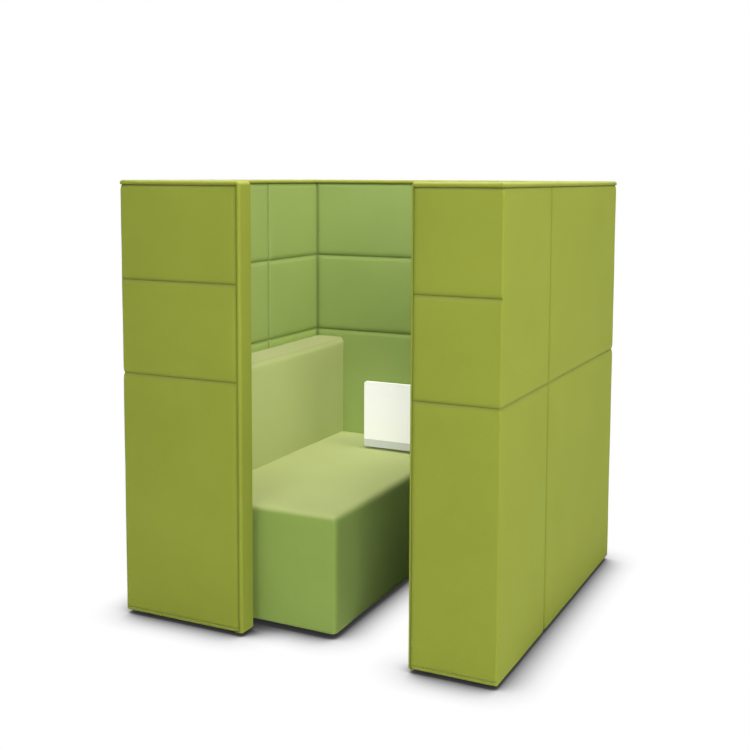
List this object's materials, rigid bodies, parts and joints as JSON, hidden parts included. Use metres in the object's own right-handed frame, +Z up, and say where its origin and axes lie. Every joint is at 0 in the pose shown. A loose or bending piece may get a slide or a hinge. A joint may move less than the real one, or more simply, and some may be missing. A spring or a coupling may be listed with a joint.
{
  "type": "high-back booth sofa",
  "caption": "Open-topped booth of high padded walls with an entry gap, an upholstered bench with a backrest inside, and a small fold-down side table.",
  "frame": {"origin": "centre of the overall box on the floor, under the glides", "axes": "+Z up, +Y from the entry towards the rear wall, +X from the bench's wall towards the open side"},
  "size_m": [1.5, 1.44, 1.65],
  "materials": {
    "outer_fabric": "yellow-green woven upholstery, matt",
    "inner_fabric": "paler blue-green woven upholstery, matt",
    "softwood": "planed, unfinished",
    "board": "hardboard, unfinished",
    "plywood": "sanded, unfinished",
    "acoustic_foam": "open-cell foam",
    "dust_cloth": "non-woven cloth",
    "zinc": "zinc plated",
    "dark_steel": "powder coated, satin",
    "black_plastic": "moulded, matt",
    "clear_plastic": "moulded, translucent grey",
    "white_laminate": "white laminate on board, satin",
    "grey_plastic": "moulded, light grey"
  },
  "bodies": {
    "booth": {"back_wall_frame": "softwood", "left_wall_frame": "softwood", "right_wall_frame": "softwood", "left_return_frame": "softwood", "right_return_frame": "softwood", "back_wall_infill": "acoustic_foam", "left_wall_infill": "acoustic_foam", "right_wall_infill": "acoustic_foam", "left_return_infill": "acoustic_foam", "right_return_infill": "acoustic_foam", "back_wall_outer_board": "board", "left_wall_outer_board": "board", "right_wall_outer_board": "board", "back_wall_inner_board": "board", "left_wall_inner_board": "board", "right_wall_inner_board": "board", "back_wall_outer_panel": "outer_fabric", "left_wall_outer_panel": "outer_fabric", "right_wall_outer_panel": "outer_fabric", "left_return_outer_panel": "outer_fabric", "right_return_outer_panel": "outer_fabric", "back_wall_inner_panel": "inner_fabric", "left_wall_inner_panel": "inner_fabric", "right_wall_inner_panel": "inner_fabric", "left_return_inner_panel": "inner_fabric", "right_return_inner_panel": "inner_fabric", "back_wall_top_band": "outer_fabric", "left_wall_top_band": "outer_fabric", "right_wall_top_band": "outer_fabric", "left_return_top_band": "outer_fabric", "right_return_top_band": "outer_fabric", "left_return_edge_band": "outer_fabric", "right_return_edge_band": "outer_fabric", "frame_bolts": "zinc", "wall_glides": "black_plastic", "bench_side_board": "plywood", "bench_back_board": "plywood", "bench_end_boards": "plywood", "bench_dividers": "plywood", "bench_glide_blocks": "softwood", "seat_deck": "plywood", "bench_dust_cover": "dust_cloth", "seat_cushion": "inner_fabric", "bench_side_panel": "inner_fabric", "bench_end_panel": "inner_fabric", "backrest_frame": "softwood", "backrest_board": "board", "backrest_cushion": "inner_fabric", "backrest_border": "inner_fabric", "bench_glides": "clear_plastic", "table_wall_plate": "dark_steel", "table_arms": "dark_steel", "table_rail": "dark_steel", "hinge_fixed_plates": "zinc", "hinge_pins": "zinc", "bracket_bolts": "zinc"},
    "table": {"table_leaf": "white_laminate", "leaf_grip": "grey_plastic", "hinge_leaf_plates": "zinc", "hinge_screws": "zinc"}
  },
  "joints": [
    {"name": "table_hinge", "type": "hinge", "parent": "booth", "child": "table", "pos_m": [0, 0.36175, 0.7595], "axis": [-1, 0, 0], "range_deg": [0, 90]}
  ]
}
